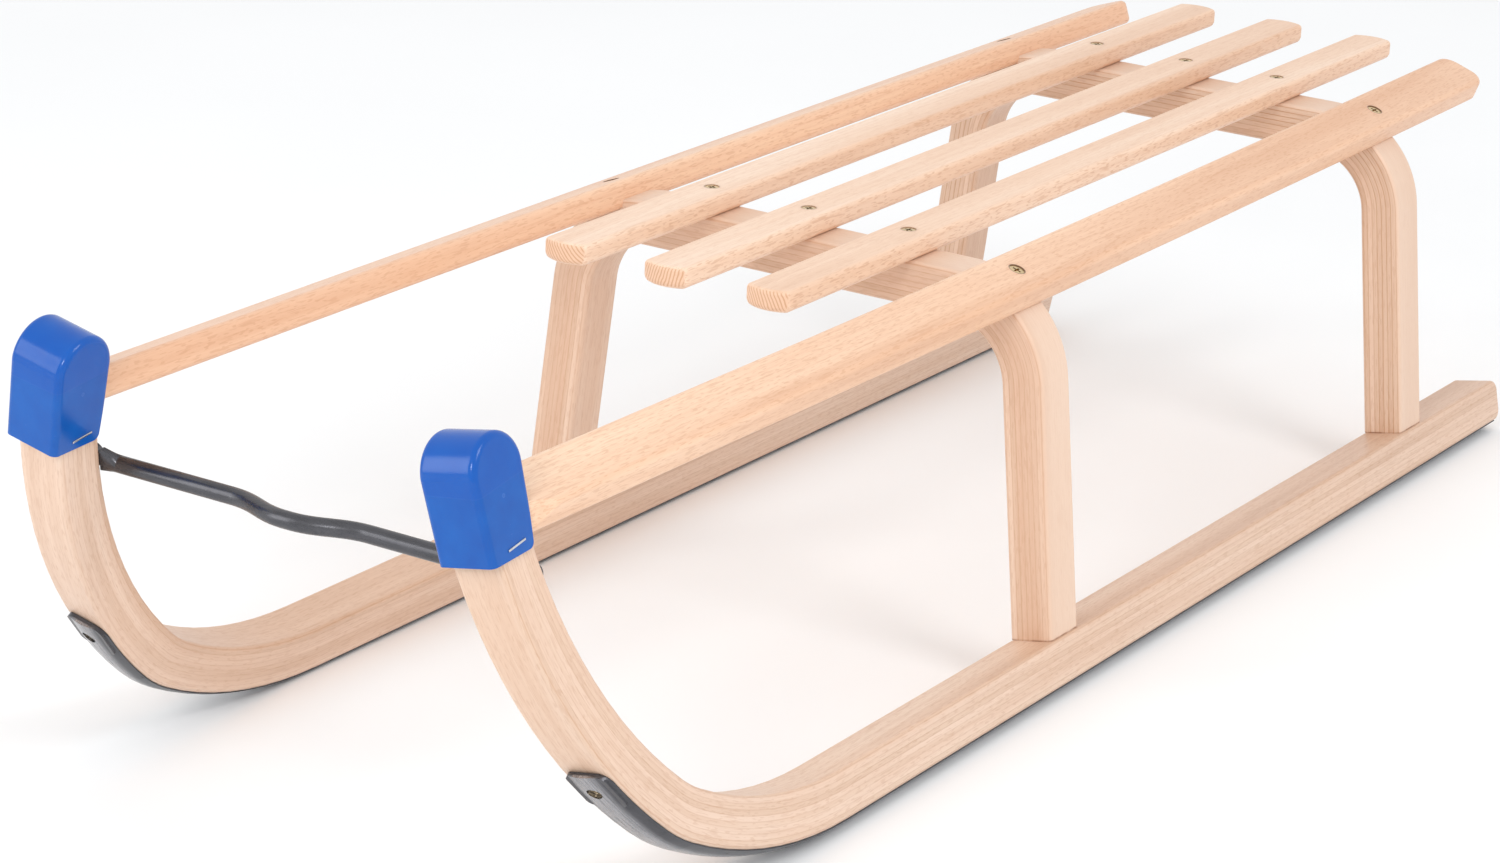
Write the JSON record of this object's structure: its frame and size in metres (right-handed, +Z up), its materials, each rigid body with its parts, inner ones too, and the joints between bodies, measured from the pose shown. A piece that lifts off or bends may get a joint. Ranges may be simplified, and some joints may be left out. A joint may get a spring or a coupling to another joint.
{
  "type": "wooden toboggan",
  "caption": "Rigid wooden sled with upturned laminated runners on steel shoes, bent bows carrying a slatted seat and long side rails, plastic tip caps and a steel pull bar.",
  "frame": {"origin": "on the ground, under the middle of the sled's bounding box", "axes": "+X forward along travel towards the tip caps, +Y to the rider's left, +Z up"},
  "size_m": [1.0998, 0.3714, 0.2692],
  "materials": {
    "wood_runner": "clear-lacquered laminated beech",
    "wood_bow": "clear-lacquered laminated beech",
    "wood_rail": "clear-lacquered solid beech",
    "wood_slat": "clear-lacquered solid beech",
    "shoe_steel": "rolled steel, worn bright on the crown",
    "cap_plastic": "satin moulded blue plastic",
    "bar_steel": "dark grey coated steel rod",
    "screw_steel": "zinc-plated steel"
  },
  "bodies": {
    "root": {"runner_left": "wood_runner", "runner_right": "wood_runner", "front_bow": "wood_bow", "rear_bow": "wood_bow", "rail_left": "wood_rail", "rail_right": "wood_rail", "seat_slat_left": "wood_slat", "seat_slat_centre": "wood_slat", "seat_slat_right": "wood_slat", "shoe_left": "shoe_steel", "shoe_right": "shoe_steel", "tip_cap_left": "cap_plastic", "tip_cap_right": "cap_plastic", "pull_bar": "bar_steel", "pull_bar_screws": "screw_steel", "seat_slat_screws": "screw_steel", "rail_screws": "screw_steel", "bow_foot_screws": "screw_steel", "shoe_screws_left": "screw_steel", "shoe_screws_right": "screw_steel", "horn_screws": "screw_steel", "cap_staples": "screw_steel"}
  },
  "joints": []
}
